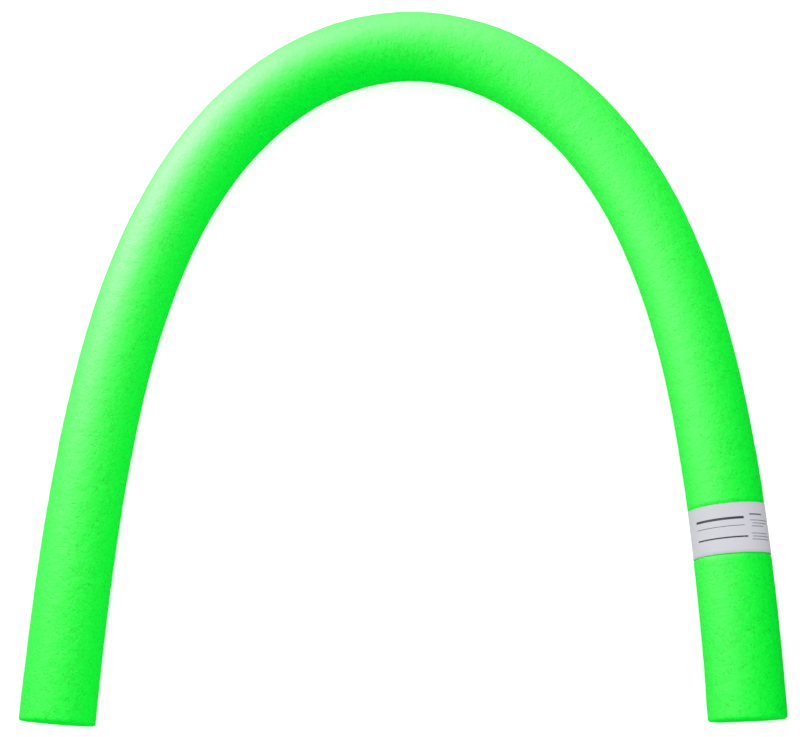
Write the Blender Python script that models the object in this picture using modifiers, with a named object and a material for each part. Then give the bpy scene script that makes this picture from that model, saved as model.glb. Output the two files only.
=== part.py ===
"""A pool noodle, lying flat: a solid round bar of foam, bent into an arch, with a band wrapped round one leg.

Metres, +Z up. The arch lies in the XY plane with its crown towards +Y and both cut ends level towards -Y.
It rests on Z = 0, and the origin is at the middle of its outline, on the surface that it rests on.
"""

import math

import bpy
import numpy as np

# The foam bar
BODY_LENGTH = 1.50          # along its middle line
BODY_DIAMETER = 0.0645
RIM_ROUND = 0.0022          # rounding of the edge of each cut end

# How the bar is bent: the curvature is a smooth bell, strongest near the middle of the bar
BEND_TURN = math.radians(176)
BEND_CENTRE_SHARE = 0.503   # of the length, where the bend is tightest
BEND_WIDTH_SHARE = 0.2      # of the length, from there to where the curvature has fallen to 1/e
BEND_POWER = 1.35           # 1 is a sharp peak, 2 is a round one

# The band: a strip that goes round the leg once and laps over its own start
BAND_WIDTH = 0.042          # along the leg
BAND_FROM_END = 0.156       # from the right-hand end of the bar to the middle of the band
BAND_THICKNESS = 0.0002
BAND_CLEARANCE = 0.0003     # to the foam under it, and between its layers where it laps
BAND_LAP = 0.012            # round the leg, that lies over the start of the strip
BAND_CLIMB = 0.006          # round the leg, in which the strip climbs onto its own start
BAND_SEAM_ANGLE = math.radians(-135)   # of the start of the strip: 0 faces into the arch, -90 straight down
SEAT_EDGE = 0.001           # along the leg, in which the pressed-in foam comes up again beside the band

# Finishes: linear colour, roughness and specular level
FOAM_FINISH = (0.001, 0.93, 0.034), 0.8, 0.17
PAPER_FINISH = (0.625, 0.62, 0.68), 0.6, 0.12

# How finely the round shapes are divided
BODY_SIDES = 32
BODY_RINGS = 96             # along the whole bar
BAND_RINGS = 4
RIM_RINGS = 3
SPINE_STEPS = 1200          # in which the bend is added up

# Worked out from the sizes above
BODY_RADIUS = BODY_DIAMETER / 2
SIDE_ANGLE = 2 * math.pi / BODY_SIDES
REST_HEIGHT = BODY_RADIUS * math.cos(SIDE_ANGLE / 2)   # of the middle line, with a flat side down
BAND_RADIUS = BODY_RADIUS - BAND_THICKNESS             # of the inside of the strip, so that it lies flush
SEAT_RADIUS = BAND_RADIUS - BAND_CLEARANCE
LAP_RADIUS = BAND_RADIUS + BAND_THICKNESS + BAND_CLEARANCE
BAND_START = BODY_LENGTH - BAND_FROM_END - BAND_WIDTH / 2
BAND_END = BAND_START + BAND_WIDTH


def clear_scene():
    """Remove whatever objects the scene holds."""
    for obj in list(bpy.data.objects):
        bpy.data.objects.remove(obj, do_unlink=True)


def new_collection(name):
    """A fresh collection in the scene."""
    collection = bpy.data.collections.new(name)
    bpy.context.scene.collection.children.link(collection)
    return collection


def new_material(name, colour, roughness, specular):
    """A plain non-metal Principled material."""
    material = bpy.data.materials.new(name)
    material.use_nodes = True
    shader = material.node_tree.nodes["Principled BSDF"]
    shader.inputs["Base Color"].default_value = (*colour, 1)
    shader.inputs["Roughness"].default_value = roughness
    shader.inputs["Specular IOR Level"].default_value = specular
    shader.inputs["Metallic"].default_value = 0
    material.diffuse_color = (*colour, 1)
    return material


def outline_middle(values, reach):
    """Halfway between the lowest and highest place that the bar's two sides come to."""
    sides = np.concatenate((values - reach, values + reach))
    return (sides.min() + sides.max()) / 2


def make_spine():
    """Lengths along the bar, and the x and y of its middle line at each, from the left-hand end."""
    shares = np.linspace(0, 1, SPINE_STEPS + 1)
    bend = np.exp(-np.abs((shares - BEND_CENTRE_SHARE) / BEND_WIDTH_SHARE) ** BEND_POWER)
    turned = np.concatenate(([0], np.cumsum(bend[1:] + bend[:-1])))
    heading = -BEND_TURN * turned / turned[-1]

    step = BODY_LENGTH / SPINE_STEPS
    step_heading = (heading[1:] + heading[:-1]) / 2
    along = np.concatenate(([0], np.cumsum(step * np.cos(step_heading))))
    across = np.concatenate(([0], np.cumsum(step * np.sin(step_heading))))

    # Turn the whole line so that its two ends are level
    level = -math.atan2(across[-1], along[-1])
    x = along * math.cos(level) - across * math.sin(level)
    y = along * math.sin(level) + across * math.cos(level)
    x_reach = BODY_RADIUS * np.sin(heading + level)
    y_reach = BODY_RADIUS * np.cos(heading + level)
    return shares * BODY_LENGTH, x - outline_middle(x, x_reach), y - outline_middle(y, y_reach)


def spine_points(spine, lengths):
    """Points of the middle line at these lengths along the bar, at the height at which it rests."""
    spine_lengths, x, y = spine
    return [
        (np.interp(length, spine_lengths, x), np.interp(length, spine_lengths, y), REST_HEIGHT)
        for length in lengths
    ]


def even_lengths(start, end):
    """Lengths from start to end, about as far apart as the rings of the bar."""
    count = max(1, math.ceil((end - start) / BODY_LENGTH * BODY_RINGS))
    return [start + (end - start) * i / count for i in range(count + 1)]


def new_sweep(name, collection, points):
    """A curve through these points, whose profile keeps upright, in a collection."""
    curve = bpy.data.curves.new(name, "CURVE")
    curve.dimensions = "3D"
    curve.twist_mode = "Z_UP"
    spline = curve.splines.new("POLY")
    spline.points.add(len(points) - 1)
    for spline_point, point in zip(spline.points, points):
        spline_point.co = (*point, 1)
    obj = bpy.data.objects.new(name, curve)
    collection.objects.link(obj)
    return obj


def make_foam(spine, collection):
    """The bar: full size along both legs, pressed in under the band, and rounded at its cut edges."""
    turns = [math.pi / 2 * i / RIM_RINGS for i in range(RIM_RINGS + 1)]
    rim = [(RIM_ROUND * (1 - math.sin(turn)), BODY_RADIUS - RIM_ROUND * (1 - math.cos(turn))) for turn in turns]
    seat_start = BAND_START - BAND_CLEARANCE
    seat_end = BAND_END + BAND_CLEARANCE

    # Each station is a length along the bar and the radius there
    stations = list(reversed(rim))[:-1]
    stations += [(length, BODY_RADIUS) for length in even_lengths(RIM_ROUND, seat_start - SEAT_EDGE)]
    stations += [(length, SEAT_RADIUS) for length in even_lengths(seat_start, seat_end)]
    stations += [(length, BODY_RADIUS) for length in even_lengths(seat_end + SEAT_EDGE, BODY_LENGTH - RIM_ROUND)]
    stations += [(BODY_LENGTH - length, radius) for length, radius in rim[1:]]

    foam = new_sweep("foam_noodle", collection, spine_points(spine, [length for length, radius in stations]))
    foam.data.bevel_depth = BODY_RADIUS
    foam.data.bevel_resolution = BODY_SIDES // 2 - 2
    foam.data.use_fill_caps = True
    for spline_point, (length, radius) in zip(foam.data.splines[0].points, stations):
        spline_point.radius = radius / BODY_RADIUS
        spline_point.tilt = SIDE_ANGLE / 2
    foam.data.materials.append(new_material("green_foam", *FOAM_FINISH))
    return foam


def side_radius(radius, angle):
    """How far out the many-sided outline of the bar lies at this angle, where its corners lie at this radius."""
    from_middle = (angle + SIDE_ANGLE / 2) % SIDE_ANGLE - SIDE_ANGLE / 2
    return radius * math.cos(SIDE_ANGLE / 2) / math.cos(from_middle)


def corner_angles(start, end):
    """Where the corners of that outline lie between these two angles."""
    first = math.floor(start / SIDE_ANGLE + 1 / 2)
    last = math.ceil(end / SIDE_ANGLE - 1 / 2)
    return [(i + 1 / 2) * SIDE_ANGLE for i in range(first, last)]


def make_band_profile(collection):
    """The strip seen end on: once round the bar, up over its own start, and on to the end of the lap."""
    start = BAND_SEAM_ANGLE
    once_round = start + 2 * math.pi
    climb = once_round - BAND_CLIMB / BODY_RADIUS
    end = once_round + BAND_LAP / BODY_RADIUS
    stations = [(BAND_RADIUS, angle) for angle in [start, *corner_angles(start, climb), climb]]
    stations += [(LAP_RADIUS, angle) for angle in [once_round, *corner_angles(once_round, end), end]]

    points = []
    for radius, angle in stations:
        reach = side_radius(radius, angle)
        points.append((reach * math.cos(angle), reach * math.sin(angle), 0))
    profile = new_sweep("band_profile", collection, points)
    profile.hide_render = True
    profile.display_type = "WIRE"
    return profile


def make_band(spine, collection, guides):
    """The strip round the right-hand leg, as an open sheet along the leg that is then given its thickness."""
    lengths = [BAND_START + BAND_WIDTH * i / BAND_RINGS for i in range(BAND_RINGS + 1)]
    band = new_sweep("label_band", collection, spine_points(spine, lengths))
    band.data.bevel_mode = "OBJECT"
    band.data.bevel_object = make_band_profile(guides)
    wall = band.modifiers.new("wall", "SOLIDIFY")
    wall.thickness = BAND_THICKNESS
    wall.offset = -1
    band.data.materials.append(new_material("band_paper", *PAPER_FINISH))
    return band


clear_scene()
parts = new_collection("pool_noodle")
guides = new_collection("guides")
spine = make_spine()
make_foam(spine, parts)
make_band(spine, parts, guides)
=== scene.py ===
"""The looks of a pool noodle: a bent bar of foam with a pebbled skin, and a paper band round one leg."""

import math

import bpy
import numpy as np
from mathutils import Matrix, Vector, noise


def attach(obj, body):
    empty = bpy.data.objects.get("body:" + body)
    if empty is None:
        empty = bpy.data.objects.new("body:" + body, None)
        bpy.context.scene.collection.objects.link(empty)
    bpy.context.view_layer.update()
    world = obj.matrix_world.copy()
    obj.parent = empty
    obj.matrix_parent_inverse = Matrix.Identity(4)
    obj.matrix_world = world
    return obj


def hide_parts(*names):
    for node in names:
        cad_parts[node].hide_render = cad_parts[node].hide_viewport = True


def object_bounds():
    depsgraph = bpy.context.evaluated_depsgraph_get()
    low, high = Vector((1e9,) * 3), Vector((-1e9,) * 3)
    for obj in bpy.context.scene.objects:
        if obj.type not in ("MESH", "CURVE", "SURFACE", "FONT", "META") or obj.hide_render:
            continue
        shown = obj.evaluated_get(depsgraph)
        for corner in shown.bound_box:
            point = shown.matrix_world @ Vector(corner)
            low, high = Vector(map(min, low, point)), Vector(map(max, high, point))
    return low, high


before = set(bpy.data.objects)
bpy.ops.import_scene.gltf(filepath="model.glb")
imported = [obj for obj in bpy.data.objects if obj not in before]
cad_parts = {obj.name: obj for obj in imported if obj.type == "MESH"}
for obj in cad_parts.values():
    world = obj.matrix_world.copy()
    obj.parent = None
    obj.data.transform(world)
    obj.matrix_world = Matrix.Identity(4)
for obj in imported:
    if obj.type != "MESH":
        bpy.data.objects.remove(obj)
cad_low, cad_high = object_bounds()

# The camera, fitted to the outline of the noodle in the photograph
PHOTO_WIDTH = 800                       # pixels
FOCAL_LENGTH_PIXELS = 1500
CAMERA_PLACE = Vector((0.0442, -0.3741, 1.3178))
CAMERA_AIM = Vector((0, -0.0205, 0.0321))
PICTURE_TOP = Vector((0, 1, 0))         # the way that the top of the picture points
SENSOR_WIDTH_MM = 36
NEAREST_SEEN = 0.05
FARTHEST_SEEN = 50

# The bar and its bend, as in the CAD model
BODY_LENGTH = 1.50
BODY_RADIUS = 0.0645 / 2
RIM_ROUND = 0.0022
BEND_TURN = math.radians(176)
BEND_CENTRE_SHARE = 0.503
BEND_WIDTH_SHARE = 0.2
BEND_POWER = 1.35
REST_HEIGHT = (cad_low.z + cad_high.z) / 2

# The band, as in the CAD model
BAND_WIDTH = 0.042
BAND_MIDDLE = BODY_LENGTH - 0.156
BAND_LAP = 0.012
BAND_SEAM_ANGLE = math.radians(-135)    # of the start of the strip: 0 faces into the arch, -90 straight down

# How finely the middle line and the visible foam are divided
SPINE_STEPS = 1500
SKIN_STEP = 0.00175
SKIN_SIDES = 108
FEWEST_STEPS = 4                        # in any stretch of the skin


# The middle line

class Spine:
    """The middle line of the bent bar: where it is and which way it heads at any length along it."""

    def __init__(self):
        shares = np.linspace(0, 1, SPINE_STEPS + 1)
        bend = np.exp(-np.abs((shares - BEND_CENTRE_SHARE) / BEND_WIDTH_SHARE) ** BEND_POWER)
        turned = np.concatenate(([0], np.cumsum(bend[1:] + bend[:-1])))
        heading = -BEND_TURN * turned / turned[-1]
        step = BODY_LENGTH / SPINE_STEPS
        step_heading = (heading[1:] + heading[:-1]) / 2
        along = np.concatenate(([0], np.cumsum(step * np.cos(step_heading))))
        across = np.concatenate(([0], np.cumsum(step * np.sin(step_heading))))

        # Turn the whole line so that its two ends are level
        level = -math.atan2(across[-1], along[-1])
        x = along * math.cos(level) - across * math.sin(level)
        y = along * math.sin(level) + across * math.cos(level)
        self.lengths = shares * BODY_LENGTH
        self.heading = heading + level
        self.bend = bend
        self.x = x - self.middle_of(x, BODY_RADIUS * np.sin(self.heading))
        self.y = y - self.middle_of(y, BODY_RADIUS * np.cos(self.heading))

    @staticmethod
    def middle_of(values, reach):
        """Halfway between the lowest and highest place that the bar's two sides come to."""
        sides = np.concatenate((values - reach, values + reach))
        return (sides.min() + sides.max()) / 2

    def place(self, length, outward, upward):
        """World points that lie this far outward and upward of the middle line, at these lengths along it."""
        heading = np.interp(length, self.lengths, self.heading)
        beyond = length - np.clip(length, 0, BODY_LENGTH)
        x = np.interp(length, self.lengths, self.x) - outward * np.sin(heading) + beyond * np.cos(heading)
        y = np.interp(length, self.lengths, self.y) + outward * np.cos(heading) + beyond * np.sin(heading)
        return np.stack([x, y, REST_HEIGHT + upward], axis=-1)

    def bend_share(self, length):
        """How sharply the bar bends there, as a share of its sharpest bend."""
        return np.interp(length, self.lengths, self.bend)


spine = Spine()


# Mesh helpers

SEED_SHIFT = (17.31, 5.77, 11.13)       # how far each seed moves the noise, so that no two patterns are alike


def noise_at(points, size, seed=0, octaves=1):
    """Smooth noise from about -1 to 1 at these points, with bumps of about this size."""
    shift = Vector([seed * reach for reach in SEED_SHIFT])
    values = np.empty(len(points))
    for i, point in enumerate(points / size):
        spot = Vector(point) + shift
        value = noise.noise(spot)
        for octave in range(1, octaves):
            value += noise.noise(spot * 2 ** octave) / 2 ** octave
        values[i] = value
    return values


def round_bar(radius, angle, length):
    """Points on a straight round bar, at these angles round it and lengths along it."""
    return np.stack([radius * np.cos(angle), radius * np.sin(angle), length], axis=-1)


def grid_faces(rows, columns, closed=True):
    """Quads of a grid of vertices, whose columns may close into a ring."""
    faces = []
    for row in range(rows - 1):
        this_row, next_row = row * columns, (row + 1) * columns
        for column in range(columns if closed else columns - 1):
            beside = (column + 1) % columns
            faces.append((this_row + column, this_row + beside, next_row + beside, next_row + column))
    return faces


def new_mesh_object(name, vertices, faces, material):
    """A smooth-shaded mesh object in the scene."""
    mesh = bpy.data.meshes.new(name)
    mesh.from_pydata([tuple(vertex) for vertex in vertices], [], faces)
    mesh.validate()
    mesh.shade_smooth()
    mesh.materials.append(material)
    obj = bpy.data.objects.new(name, mesh)
    bpy.context.scene.collection.objects.link(obj)
    return obj


def add_attribute(obj, name, kind, values):
    """Store a number or a vector for each vertex."""
    attribute = obj.data.attributes.new(name, kind, "POINT")
    field = "vector" if kind == "FLOAT_VECTOR" else "value"
    attribute.data.foreach_set(field, np.asarray(values, dtype=np.float32).ravel())


# Material helpers

NOISE_MIDDLE = (0.5, 0.5, 0.5)          # of a noise texture's colour


class Nodes:
    """A material's node tree, with short calls to add and join nodes."""

    def __init__(self, name):
        self.material = bpy.data.materials.new(name)
        self.material.use_nodes = True
        self.tree = self.material.node_tree
        self.shader = self.tree.nodes["Principled BSDF"]

    def add(self, kind, inputs=None, **settings):
        """A new node, with its settings made and its inputs fed by name."""
        node = self.tree.nodes.new(kind)
        for key, value in settings.items():
            setattr(node, key, value)
        for key, value in (inputs or {}).items():
            self.feed(node.inputs[key], value)
        return node

    def feed(self, socket, value):
        """Join a socket to another one, or give it a constant."""
        if isinstance(value, bpy.types.NodeSocket):
            self.tree.links.new(value, socket)
        else:
            socket.default_value = value

    def attribute(self, name, output):
        """What the mesh stores under this name."""
        return self.add("ShaderNodeAttribute", attribute_name=name).outputs[output]

    def math(self, operation, *values):
        """One step of arithmetic."""
        node = self.add("ShaderNodeMath", operation=operation)
        for socket, value in zip(node.inputs, values):
            self.feed(socket, value)
        return node.outputs[0]

    def chain(self, operation, *values):
        """The same step of arithmetic from value to value."""
        total = values[0]
        for value in values[1:]:
            total = self.math(operation, total, value)
        return total

    def sum(self, *values):
        """All the values, added up."""
        return self.chain("ADD", *values)

    def times(self, *values):
        """All the values, multiplied."""
        return self.chain("MULTIPLY", *values)

    def largest(self, *values):
        """The largest of the values."""
        return self.chain("MAXIMUM", *values)

    def stretch(self, vector, scale):
        """The vector, with its own scale along each axis."""
        node = self.add("ShaderNodeVectorMath", operation="MULTIPLY")
        self.feed(node.inputs[0], vector)
        node.inputs[1].default_value = scale
        return node.outputs[0]

    def noise(self, vector, scale, detail=2, roughness=0.5):
        """Smooth noise, mostly from 0.3 to 0.7."""
        inputs = {"Vector": vector, "Scale": scale, "Detail": detail, "Roughness": roughness}
        return self.add("ShaderNodeTexNoise", inputs).outputs["Fac"]

    def cells(self, vector, scale, feature="F1"):
        """The distance from the nearest cell's middle, or from the border between cells."""
        node = self.add("ShaderNodeTexVoronoi", {"Vector": vector, "Scale": scale}, feature=feature)
        return node.outputs["Distance"]

    def between(self, factor, low, high):
        """low where factor is 0, high where it is 1."""
        node = self.add("ShaderNodeMapRange", {"Value": factor, "To Min": low, "To Max": high})
        return node.outputs["Result"]

    def window(self, factor, start, end, low, high):
        """low up to where factor is start, high from where it is end, and smooth between."""
        inputs = {"Value": factor, "From Min": start, "From Max": end, "To Min": low, "To Max": high}
        node = self.add("ShaderNodeMapRange", inputs, interpolation_type="SMOOTHSTEP")
        return node.outputs["Result"]

    def wander(self, vector, scale, reach):
        """The vector, shifted about smoothly by up to about this reach."""
        shift = self.add("ShaderNodeTexNoise", {"Vector": vector, "Scale": scale, "Detail": 1})
        centred = self.add("ShaderNodeVectorMath", operation="SUBTRACT")
        self.feed(centred.inputs[0], shift.outputs["Color"])
        centred.inputs[1].default_value = NOISE_MIDDLE
        moved = self.add("ShaderNodeVectorMath", operation="MULTIPLY_ADD")
        self.feed(moved.inputs[0], centred.outputs[0])
        moved.inputs[1].default_value = (2 * reach,) * 3
        self.feed(moved.inputs[2], vector)
        return moved.outputs[0]

    def mix(self, factor, first, second):
        """The first colour where factor is 0, the second where it is 1."""
        node = self.add("ShaderNodeMix", data_type="RGBA")
        self.feed(node.inputs["Factor"], factor)
        self.feed(node.inputs["A"], first if isinstance(first, bpy.types.NodeSocket) else (*first, 1))
        self.feed(node.inputs["B"], second if isinstance(second, bpy.types.NodeSocket) else (*second, 1))
        return node.outputs["Result"]

    def bump(self, height, strength, depth):
        """A normal that is bent as this height would bend it."""
        inputs = {"Strength": strength, "Distance": depth, "Height": height}
        return self.add("ShaderNodeBump", inputs).outputs["Normal"]


# The gloss of both materials: a faint, rough film, which hardly grows at flat angles, as on rough foam
FOAM_GLOSS = 0.012
PAPER_GLOSS = 0.006
GLOSS_ROUGHNESS = 0.7
GLOSS_IOR = 3.0


def add_gloss(shader, weight):
    """A faint film of gloss in place of the shader's own reflection."""
    shader.inputs["Specular IOR Level"].default_value = 0.0
    shader.inputs["Coat Weight"].default_value = weight
    shader.inputs["Coat Roughness"].default_value = GLOSS_ROUGHNESS
    shader.inputs["Coat IOR"].default_value = GLOSS_IOR


# The foam's material

FOAM_GREEN = (0.0, 0.88, 0.028)
# painted shade: the colour laid into creases, pits, bent streaks and open pores
FOAM_PAINTED_SHADE = (0.0, 0.66, 0.014)
FOAM_PALE = (0.001, 0.98, 0.040)
FOAM_ROUGHNESS = 0.75, 0.85             # in the hollows of the pebbled skin, and on its tops

# How many of each there are in a metre
PATCHES_PER_METRE = 28
PEBBLES_PER_METRE = 230
GRAINS_PER_METRE = 1100
STREAKS_PER_METRE = 130, 130, 400       # across the bar, up, and along it
CREASE_CELLS_PER_METRE = 210
CREASE_GROUPS_PER_METRE = 150
MOTTLES_PER_METRE = 480
SPECKS_PER_METRE = 520
PORES_PER_METRE = 900

# How far, and over what distance, streaks and creases stray from straight lines
STREAK_STRAY, STREAK_TURNS_PER_METRE = 0.006, 60
CREASE_STRAY, CREASE_TURNS_PER_METRE = 0.0016, 300

# From where to where in its noise each kind of mark comes up
CREASE_GROUP_EDGES = 0.50, 0.60
CREASE_EDGES = 0.0, 0.07
GROOVE_EDGES = 0.0, 0.18
MOTTLE_EDGES = 0.35, 0.65
SPECK_EDGES = 0.69, 0.73
STREAK_EDGES = 0.57, 0.68
PORE_EDGES = 0.15, 0.45

# Heights in the bump, as shares of its depth
BUMP_DEPTH = 0.0005
PEBBLE_SHARE = 1.5
GRAIN_SHARE = 0.2
STREAK_SHARE = 1.9
GROOVE_SHARE = -0.45
MOTTLE_SHARE = 0.28
SPECK_SHARE = -0.9
SKIN_BUMP = 1.0
GLOSS_BUMP = 0.42                       # weaker, because the film evens out the skin

# How strongly each kind of mark colours the foam: patches and mottle are its own tone, while streaks, pores
# and the other marks are painted shade
PATCH_TINT = 0.4
MOTTLE_TINT = 0.6
STREAK_SHADE_TINT = 0.8
PORE_SHADE_TINT = 0.7
RELIEF_SHADE_TINT = 0.45
FLANK_SHADE_SHARE = 0.15                      # what is left of the painted shade on the flanks, which the light doesn't cross
FLANK_HEIGHT = 0.5 * BODY_RADIUS        # over the middle line, up to which that holds
TOP_HEIGHT = 0.9 * BODY_RADIUS          # from which the painted shade shows in full


def foam_material():
    """Closed-cell foam: a skin of fine cells, drawn out where the bar bends, and open on the cuts, with
    painted shade in its creases, pits and pores.
    """
    nodes = Nodes("foam_skin")
    straight = nodes.attribute("straight", "Vector")
    bend = nodes.attribute("bend", "Fac")
    cut = nodes.attribute("cut", "Fac")

    patches = nodes.noise(straight, PATCHES_PER_METRE, detail=3)
    pebbles = nodes.noise(straight, PEBBLES_PER_METRE)
    grains = nodes.noise(straight, GRAINS_PER_METRE)
    pulled = nodes.wander(straight, STREAK_TURNS_PER_METRE, STREAK_STRAY)
    streaks = nodes.noise(nodes.stretch(pulled, STREAKS_PER_METRE), 1, roughness=0.6)
    mottle_noise = nodes.noise(straight, MOTTLES_PER_METRE, detail=1)
    mottle = nodes.window(mottle_noise, *MOTTLE_EDGES, 0.0, 1.0)
    speck_noise = nodes.noise(straight, SPECKS_PER_METRE, detail=1)
    specks = nodes.window(speck_noise, *SPECK_EDGES, 0.0, 1.0)
    pores = nodes.cells(straight, PORES_PER_METRE)

    # Fine creases: short stretches of the borders between cells
    bent = nodes.wander(straight, CREASE_TURNS_PER_METRE, CREASE_STRAY)
    border = nodes.cells(bent, CREASE_CELLS_PER_METRE, feature="DISTANCE_TO_EDGE")
    group_noise = nodes.noise(straight, CREASE_GROUPS_PER_METRE, detail=1)
    here = nodes.window(group_noise, *CREASE_GROUP_EDGES, 0.0, 1.0)
    crease = nodes.times(nodes.window(border, *CREASE_EDGES, 1.0, 0.0), here)
    groove = nodes.times(nodes.window(border, *GROOVE_EDGES, 1.0, 0.0), here)

    # Painted shade in the creases, pits and bent streaks of the skin: full on the top side of the bar, where
    # the light falls across the skin, and fading towards its flanks
    height_up = nodes.add("ShaderNodeSeparateXYZ", {"Vector": straight}).outputs["Y"]
    lit_top_share = nodes.window(height_up, FLANK_HEIGHT, TOP_HEIGHT, FLANK_SHADE_SHARE, 1.0)
    # painted shade along the streaks where the bar bends
    drawn = nodes.times(nodes.window(streaks, *STREAK_EDGES, 0.0, STREAK_SHADE_TINT), bend)
    relief_shade = nodes.times(nodes.largest(crease, specks, drawn), lit_top_share, RELIEF_SHADE_TINT)
    # Painted shade in the hollows of the open pores on the cuts
    pore_shade = nodes.times(nodes.window(pores, *PORE_EDGES, PORE_SHADE_TINT, 0.0), cut)

    paler = nodes.sum(nodes.times(patches, PATCH_TINT), nodes.times(mottle, MOTTLE_TINT))
    colour = nodes.mix(paler, FOAM_GREEN, FOAM_PALE)
    colour = nodes.mix(relief_shade, colour, FOAM_PAINTED_SHADE)
    colour = nodes.mix(pore_shade, colour, FOAM_PAINTED_SHADE)

    height = nodes.sum(
        nodes.times(pebbles, PEBBLE_SHARE),
        nodes.times(grains, GRAIN_SHARE),
        nodes.times(streaks, bend, STREAK_SHARE),
        nodes.times(groove, GROOVE_SHARE),
        nodes.times(mottle, MOTTLE_SHARE),
        nodes.times(specks, SPECK_SHARE),
        nodes.times(pores, cut),
    )
    nodes.feed(nodes.shader.inputs["Base Color"], colour)
    nodes.feed(nodes.shader.inputs["Roughness"], nodes.between(pebbles, *FOAM_ROUGHNESS))
    nodes.feed(nodes.shader.inputs["Normal"], nodes.bump(height, SKIN_BUMP, BUMP_DEPTH))
    nodes.feed(nodes.shader.inputs["Coat Normal"], nodes.bump(height, GLOSS_BUMP, BUMP_DEPTH))
    add_gloss(nodes.shader, FOAM_GLOSS)
    return nodes.material


# The paper's material

PAPER_DULL = (0.595, 0.59, 0.65)
PAPER_CLEAN = (0.655, 0.645, 0.71)
PAPER_ROUGHNESS = 0.55, 0.65
FIBRES_PER_METRE = 900, 900, 300        # across the bar, up, and along it
CLOUDS_PER_METRE = 60
FIBRE_TINT = CLOUD_TINT = 0.5
FIBRE_BUMP, FIBRE_DEPTH = 0.2, 0.0001
INK = (0.045, 0.045, 0.055)
INK_SOFT = 0.00012                      # half the width of a rule's soft edge
WORN_EDGES = 0.25, 0.45                 # from where to where in the fibres the ink comes up in full
WORN_INK = 0.75                         # what is left of the ink between the fibres

# Plain printed rules on the band, round the leg from its top and along it from the strip's edge: where each
# starts and ends round the leg, its middle along the leg, its thickness, and the strength of its ink
RULES = (
    (-0.036, 0.0075, 0.0130, 0.0021, 1.0),
    (-0.036, 0.0075, 0.0195, 0.0006, 0.85),
    (-0.036, 0.0095, 0.0290, 0.0013, 1.0),
    (0.013, 0.027, 0.0105, 0.0012, 0.85),
    (0.013, 0.036, 0.0155, 0.0006, 0.8),
    (0.015, 0.034, 0.0180, 0.0006, 0.8),
    (0.014, 0.028, 0.0205, 0.0006, 0.8),
    (0.013, 0.033, 0.0265, 0.0006, 0.8),
    (0.014, 0.036, 0.0290, 0.0006, 0.8),
    (0.013, 0.036, 0.0315, 0.0006, 0.8),
)


def printed_rule(nodes, around, along, start, end, middle, thickness, strength):
    """How much ink one rule puts there."""
    across = nodes.math("ABSOLUTE", nodes.math("SUBTRACT", along, middle))
    beside = nodes.math("ABSOLUTE", nodes.math("SUBTRACT", around, (start + end) / 2))
    half_thickness, half_length = thickness / 2, (end - start) / 2
    return nodes.times(
        nodes.window(across, half_thickness - INK_SOFT, half_thickness + INK_SOFT, strength, 0.0),
        nodes.window(beside, half_length - INK_SOFT, half_length + INK_SOFT, 1.0, 0.0),
    )


def paper_material():
    """Coated paper: satin white, faintly fibrous, with plain printed rules."""
    nodes = Nodes("band_paper")
    straight = nodes.attribute("straight", "Vector")
    spread = nodes.add("ShaderNodeSeparateXYZ", {"Vector": nodes.attribute("spread", "Vector")})
    around, along = spread.outputs["X"], spread.outputs["Y"]

    fibres = nodes.noise(nodes.stretch(straight, FIBRES_PER_METRE), 1, detail=4, roughness=0.6)
    clouds = nodes.noise(straight, CLOUDS_PER_METRE)
    cleaner = nodes.sum(nodes.times(fibres, FIBRE_TINT), nodes.times(clouds, CLOUD_TINT))
    ink = nodes.largest(*[printed_rule(nodes, around, along, *rule) for rule in RULES])
    worn = nodes.window(fibres, *WORN_EDGES, WORN_INK, 1.0)
    colour = nodes.mix(cleaner, PAPER_DULL, PAPER_CLEAN)
    colour = nodes.mix(nodes.times(ink, worn), colour, INK)

    nodes.feed(nodes.shader.inputs["Base Color"], colour)
    nodes.feed(nodes.shader.inputs["Roughness"], nodes.between(fibres, *PAPER_ROUGHNESS))
    nodes.feed(nodes.shader.inputs["Normal"], nodes.bump(fibres, FIBRE_BUMP, FIBRE_DEPTH))
    add_gloss(nodes.shader, PAPER_GLOSS)
    return nodes.material


# The foam bar

# How much thicker or thinner than its nominal size the bar is, at even steps along it
GIRTH_SHARES = (
    -0.008, -0.010, -0.006, 0.0, 0.008,
    0.008, 0.004, 0.0, -0.010, -0.016,
    -0.008, 0.0, 0.010, 0.010, 0.008,
)
LUMP_SIZE, LUMP_DEPTH = 0.009, 0.00020
SWELL_SIZE, SWELL_DEPTH = 0.045, 0.00025
CREASE_LENGTH, CREASE_PITCH, CREASE_DEPTH = 0.030, 0.0050, 0.00012
SEAT_DEPTH = 0.0007
SEAT_SPARE = 0.0005                     # along the leg, on each side of the band, to the end of its seat
SEAT_EDGE = 0.0022                      # along the leg, in which the foam comes up again beside the seat
CUT_SIZE, CUT_DEPTH = 0.012, 0.00025    # of the unevenness of the cuts
CUT_FADE = 0.06                         # along the bar, in which the slant of a cut fades out
LEFT_CUT = 0.0021, -0.0008, -0.0006     # how far the cut stands out: all over, more at the top, more outward
RIGHT_CUT = 0.0004, -0.0003, -0.0005
CAP_RINGS = 12
CAP_POWER = 0.8                         # under 1 sets the rings of a cut closer towards its rim
RIM_RINGS = 5
ROUNDING = 1e-6                         # spare for comparing shares of the radius
FLOOR_FLAT = 0.00015                    # the height from which the underside is pressed flat


def girth_at(length):
    """How much more than its nominal size the bar's radius is, at these lengths along it."""
    steps = np.linspace(0, 1, len(GIRTH_SHARES))
    return np.interp(length / BODY_LENGTH, steps, GIRTH_SHARES) * BODY_RADIUS


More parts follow.
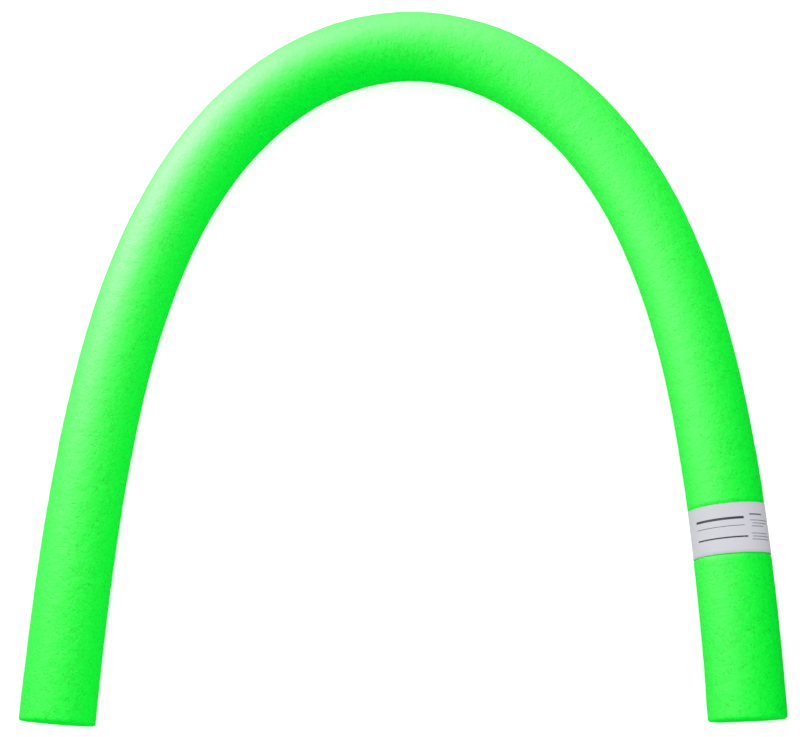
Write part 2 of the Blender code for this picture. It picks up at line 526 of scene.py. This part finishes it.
def foam_stations():
    """Lengths along the bar at which the skin has a ring of vertices, between the two rims."""
    seat_reach = BAND_WIDTH / 2 + SEAT_SPARE
    stops = (
        RIM_ROUND,
        BAND_MIDDLE - seat_reach - SEAT_EDGE,
        BAND_MIDDLE - seat_reach,
        BAND_MIDDLE + seat_reach,
        BAND_MIDDLE + seat_reach + SEAT_EDGE,
        BODY_LENGTH - RIM_ROUND,
    )
    lengths = [stops[0]]
    for start, end in zip(stops, stops[1:]):
        count = max(FEWEST_STEPS, round((end - start) / SKIN_STEP))
        lengths += [start + (end - start) * (i + 1) / count for i in range(count)]
    return np.array(lengths)


def foam_profile():
    """Rings of the whole closed surface, as lengths along the bar and shares of the full radius."""
    body = foam_stations()
    turns = np.linspace(math.pi / 2, 0, RIM_RINGS + 1)[:-1]
    rim_lengths = RIM_ROUND * (1 - np.sin(turns))
    rim_radii = 1 - RIM_ROUND * (1 - np.cos(turns)) / BODY_RADIUS
    flat_radius = 1 - RIM_ROUND / BODY_RADIUS
    cap_radii = flat_radius * (np.arange(1, CAP_RINGS + 1) / (CAP_RINGS + 1)) ** CAP_POWER
    end_lengths = np.concatenate((np.zeros(CAP_RINGS), rim_lengths))
    end_radii = np.concatenate((cap_radii, rim_radii))
    lengths = np.concatenate((end_lengths, body, BODY_LENGTH - end_lengths[::-1]))
    radii = np.concatenate((end_radii, np.ones(len(body)), end_radii[::-1]))
    return lengths, radii


def soft_floor(height):
    """Heights pressed up smoothly, so that none lies under zero."""
    pressed = FLOOR_FLAT * np.exp(np.minimum(height / FLOOR_FLAT - 1, 0))
    return np.where(height > FLOOR_FLAT, height, pressed)


def cut_shift(length, outward, upward):
    """How far the skin is drawn along the bar near its ends, because the cuts aren't quite square."""
    shift = np.zeros(len(length))
    for from_end, way, (reach, by_up, by_out) in (
        (length, -1, LEFT_CUT),
        (BODY_LENGTH - length, 1, RIGHT_CUT),
    ):
        near = np.clip(1 - from_end / CUT_FADE, 0, 1)
        shift += way * near ** 2 * (reach + by_up * upward + by_out * outward)
    return shift


def foam_relief(straight, length, bend):
    """How far the skin stands out: by swells all over, and beside the band by lumps and creases too."""
    lumps = LUMP_DEPTH * noise_at(straight, LUMP_SIZE, seed=1, octaves=2)
    swells = SWELL_DEPTH * noise_at(straight, SWELL_SIZE, seed=2)
    crease_size = CREASE_LENGTH, CREASE_LENGTH, CREASE_PITCH
    creases = CREASE_DEPTH * bend * noise_at(straight / crease_size, 1, seed=3, octaves=2)
    beyond_seat = np.abs(length - BAND_MIDDLE) - BAND_WIDTH / 2 - SEAT_SPARE
    under_band = np.clip(1 - beyond_seat / SEAT_EDGE, 0, 1)
    even = girth_at(length) + swells
    return even + (lumps + creases) * (1 - under_band) - SEAT_DEPTH * under_band


def foam_faces(ring_count, left_middle, right_middle):
    """Quads between the rings, and a fan round the middle of each cut."""
    faces = grid_faces(ring_count, SKIN_SIDES)
    last_ring = (ring_count - 1) * SKIN_SIDES
    for side in range(SKIN_SIDES):
        faces.append((left_middle, (side + 1) % SKIN_SIDES, side))
    for side in range(SKIN_SIDES):
        faces.append((right_middle, last_ring + side, last_ring + (side + 1) % SKIN_SIDES))
    return faces


def make_foam():
    """The bar: one closed skin round the middle line, with its relief in the mesh."""
    ring_lengths, ring_radii = foam_profile()
    ring_count = len(ring_lengths)
    length = np.repeat(ring_lengths, SKIN_SIDES)
    share = np.repeat(ring_radii, SKIN_SIDES)
    angle = np.tile(np.arange(SKIN_SIDES) * 2 * math.pi / SKIN_SIDES, ring_count)
    on_end = np.repeat(ring_radii < 1, SKIN_SIDES)
    on_cut = np.repeat(ring_radii < 1 - RIM_ROUND / BODY_RADIUS + ROUNDING, SKIN_SIDES)

    # Where each vertex would lie on the straight bar, and how sharply the bar bends there
    straight = round_bar(BODY_RADIUS * share, angle, length)
    bend = spine.bend_share(length)
    radius = share * (BODY_RADIUS + foam_relief(straight, length, bend))

    # The cuts aren't quite square, and a little uneven
    end_way = np.where(length < BODY_LENGTH / 2, -1.0, 1.0)
    uneven = CUT_DEPTH * noise_at(straight, CUT_SIZE, seed=5, octaves=2)
    shifted = length + cut_shift(length, share * np.cos(angle), share * np.sin(angle))
    shifted += end_way * uneven * on_end
    points = spine.place(shifted, radius * np.cos(angle), radius * np.sin(angle))
    points[:, 2] = soft_floor(points[:, 2])

    # Close both ends with a point in the middle of each cut
    ends = np.array([0.0, BODY_LENGTH])
    none = np.zeros(2)
    vertices = np.concatenate((points, spine.place(ends + cut_shift(ends, none, none), none, none)))
    faces = foam_faces(ring_count, len(points), len(points) + 1)

    foam = new_mesh_object("foam_bar", vertices, faces, foam_material())
    straight_ends = np.array([[0, 0, 0], [0, 0, BODY_LENGTH]])
    add_attribute(foam, "straight", "FLOAT_VECTOR", np.concatenate((straight, straight_ends)))
    add_attribute(foam, "bend", "FLOAT", np.concatenate((bend, [0, 0])))
    add_attribute(foam, "cut", "FLOAT", np.concatenate((on_cut.astype(float), [1, 1])))
    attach(foam, "root")
    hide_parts("foam_noodle")


# The band

BAND_PROUD = 0.00025                    # how far the outside of the strip stands out of the bar
BAND_THICKNESS = 0.0002
BAND_COLUMNS = 14
BAND_SIDES = 128
LAP_SPARE = 0.00008                     # between the strip and its own start
CLIMB_ANGLE = 0.15                      # round the leg, in which the strip climbs onto its own start
RIPPLE_SIZE, RIPPLE_DEPTH = 0.012, 0.00012
RIPPLE_SHAPE = 1.0, 1.0, 0.35           # the ripples are longer round the leg than along it


def make_band():
    """The strip: round the leg once, up over its own start, and on to the end of its lap."""
    lengths = BAND_MIDDLE + BAND_WIDTH * (np.arange(BAND_COLUMNS + 1) / BAND_COLUMNS - 1 / 2)
    turns = np.linspace(0, 2 * math.pi + BAND_LAP / BODY_RADIUS, BAND_SIDES + 1)
    length = np.repeat(lengths, len(turns))
    turn = np.tile(turns, len(lengths))
    angle = math.pi - (BAND_SEAM_ANGLE + turn)
    straight = round_bar(BODY_RADIUS, angle, length)

    climbed = np.clip((turn - 2 * math.pi) / CLIMB_ANGLE + 1, 0, 1)
    rise = climbed * (BAND_THICKNESS + LAP_SPARE)
    ripple = RIPPLE_DEPTH * noise_at(straight / RIPPLE_SHAPE, RIPPLE_SIZE, seed=8)
    radius = BODY_RADIUS + girth_at(length) + BAND_PROUD - BAND_THICKNESS + rise + ripple
    points = spine.place(length, radius * np.cos(angle), radius * np.sin(angle))
    points[:, 2] = soft_floor(points[:, 2] - BAND_THICKNESS) + BAND_THICKNESS

    faces = grid_faces(len(lengths), len(turns), closed=False)
    band = new_mesh_object("paper_band", points, faces, paper_material())
    around = BODY_RADIUS * (BAND_SEAM_ANGLE + turn - math.pi / 2)
    spread = np.stack([around, length - BAND_MIDDLE + BAND_WIDTH / 2, 0 * turn], axis=-1)
    add_attribute(band, "straight", "FLOAT_VECTOR", straight)
    add_attribute(band, "spread", "FLOAT_VECTOR", spread)
    wall = band.modifiers.new("wall", "SOLIDIFY")
    wall.thickness = BAND_THICKNESS
    wall.offset = 1
    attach(band, "root")
    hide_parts("label_band")


# The camera

def make_camera():
    """The photograph's camera."""
    back = (CAMERA_PLACE - CAMERA_AIM).normalized()
    right = PICTURE_TOP.cross(back).normalized()
    up = back.cross(right)
    data = bpy.data.cameras.new("camera")
    data.sensor_fit = "HORIZONTAL"
    data.sensor_width = SENSOR_WIDTH_MM
    data.lens = FOCAL_LENGTH_PIXELS * SENSOR_WIDTH_MM / PHOTO_WIDTH
    data.clip_start = NEAREST_SEEN
    data.clip_end = FARTHEST_SEEN
    camera = bpy.data.objects.new("camera", data)
    turned = Matrix((right, up, back)).transposed().to_4x4()
    camera.matrix_world = Matrix.Translation(CAMERA_PLACE) @ turned
    bpy.context.scene.collection.objects.link(camera)
    bpy.context.scene.camera = camera


# The floor

FLOOR_SIZE = 8.0
FLOOR_DROP = 0.0002                     # under the noodle
FLOOR_GREY = 0.82
FLOOR_ROUGHNESS = 0.9
FLOOR_GLOW = 0.63                       # added where the floor is seen, so that only its deepest shade shows


def floor_material():
    """A white floor that keeps the noodle's shadow, and shows as white where nothing shades it."""
    nodes = Nodes("floor_white")
    path = nodes.add("ShaderNodeLightPath")
    rays = ("Is Camera Ray", "Is Glossy Ray", "Is Transmission Ray")
    seen = nodes.largest(*[path.outputs[ray] for ray in rays])
    nodes.shader.inputs["Base Color"].default_value = (FLOOR_GREY, FLOOR_GREY, FLOOR_GREY, 1)
    nodes.shader.inputs["Roughness"].default_value = FLOOR_ROUGHNESS
    nodes.shader.inputs["Specular IOR Level"].default_value = 0.0
    nodes.shader.inputs["Emission Color"].default_value = (1, 1, 1, 1)
    nodes.feed(nodes.shader.inputs["Emission Strength"], nodes.times(seen, FLOOR_GLOW))
    return nodes.material


def make_floor():
    """A wide floor under the noodle."""
    half = FLOOR_SIZE / 2
    corners = [(x * half, y * half, -FLOOR_DROP) for x, y in ((-1, -1), (1, -1), (1, 1), (-1, 1))]
    floor = new_mesh_object("floor", corners, [(0, 1, 2, 3)], floor_material())


# The light

FLAG_X = 0.43
FLAG_FROM, FLAG_TO = -0.50, 0.0         # along Y
FLAG_HEIGHT = 0.07
FLAG_GREY = 0.01
ROOM_LIGHT = 1.0                        # the light that the room gives; the room shows as white at any value

# Of each lamp: name, place, what it aims at, width, height, watts, and whether it gives sheen only. The sheen
# lamps take no part in diffuse light, and are strong because the film of gloss on the foam is so faint.
LAMPS = (
    ("key", (-0.95, 0.55, 0.75), (-0.05, 0.05, 0.03), 0.5, 0.5, 1.5, False),
    ("sheen_middle", (-0.626, 0.572, 0.354), (-0.177, -0.129, 0.03), 0.53, 0.72, 690, True),
    ("sheen_back", (-0.019, 0.863, 0.366), (-0.382, 0.258, 0.03), 0.74, 0.82, 300, True),
    ("sheen_left", (-0.977, 0.433, 0.390), (0.025, -0.084, 0.03), 1.07, 1.07, 100, True),
)


def make_flag():
    """A dark card beside the noodle, out of the picture, that keeps the light off that side of it."""
    nodes = Nodes("flag_black")
    nodes.shader.inputs["Base Color"].default_value = (FLAG_GREY, FLAG_GREY, FLAG_GREY, 1)
    nodes.shader.inputs["Specular IOR Level"].default_value = 0.0
    outline = ((FLAG_FROM, 0), (FLAG_TO, 0), (FLAG_TO, FLAG_HEIGHT), (FLAG_FROM, FLAG_HEIGHT))
    corners = [(FLAG_X, y, z) for y, z in outline]
    flag = new_mesh_object("flag", corners, [(0, 1, 2, 3)], nodes.material)
    flag.visible_camera = False


def make_lamp(name, place, aim, width, height, watts, sheen_only):
    """A soft rectangular lamp, out of the camera's sight."""
    data = bpy.data.lights.new(name, "AREA")
    data.shape = "RECTANGLE"
    data.size = width
    data.size_y = height
    data.energy = watts
    lamp = bpy.data.objects.new(name, data)
    lamp.visible_camera = False
    lamp.visible_diffuse = not sheen_only
    lamp.location = place
    lamp.rotation_euler = (Vector(place) - Vector(aim)).to_track_quat("Z", "Y").to_euler()
    bpy.context.scene.collection.objects.link(lamp)


def make_world():
    """Even white light from all round, that shows as plain white behind the floor."""
    world = bpy.data.worlds.new("room")
    world.use_nodes = True
    tree = world.node_tree
    background = tree.nodes["Background"]
    background.inputs["Color"].default_value = (1, 1, 1, 1)
    path = tree.nodes.new("ShaderNodeLightPath")
    seen = path.outputs["Is Camera Ray"]
    for ray in ("Is Glossy Ray", "Is Transmission Ray"):
        either = tree.nodes.new("ShaderNodeMath")
        either.operation = "MAXIMUM"
        tree.links.new(seen, either.inputs[0])
        tree.links.new(path.outputs[ray], either.inputs[1])
        seen = either.outputs[0]
    level = tree.nodes.new("ShaderNodeMapRange")
    level.inputs["To Min"].default_value = ROOM_LIGHT
    level.inputs["To Max"].default_value = 1
    tree.links.new(seen, level.inputs["Value"])
    tree.links.new(level.outputs["Result"], background.inputs["Strength"])
    bpy.context.scene.world = world


make_camera()
make_foam()
make_band()
make_floor()
make_flag()
make_world()
for lamp_facts in LAMPS:
    make_lamp(*lamp_facts)
bpy.context.scene.view_settings.view_transform = "Standard"
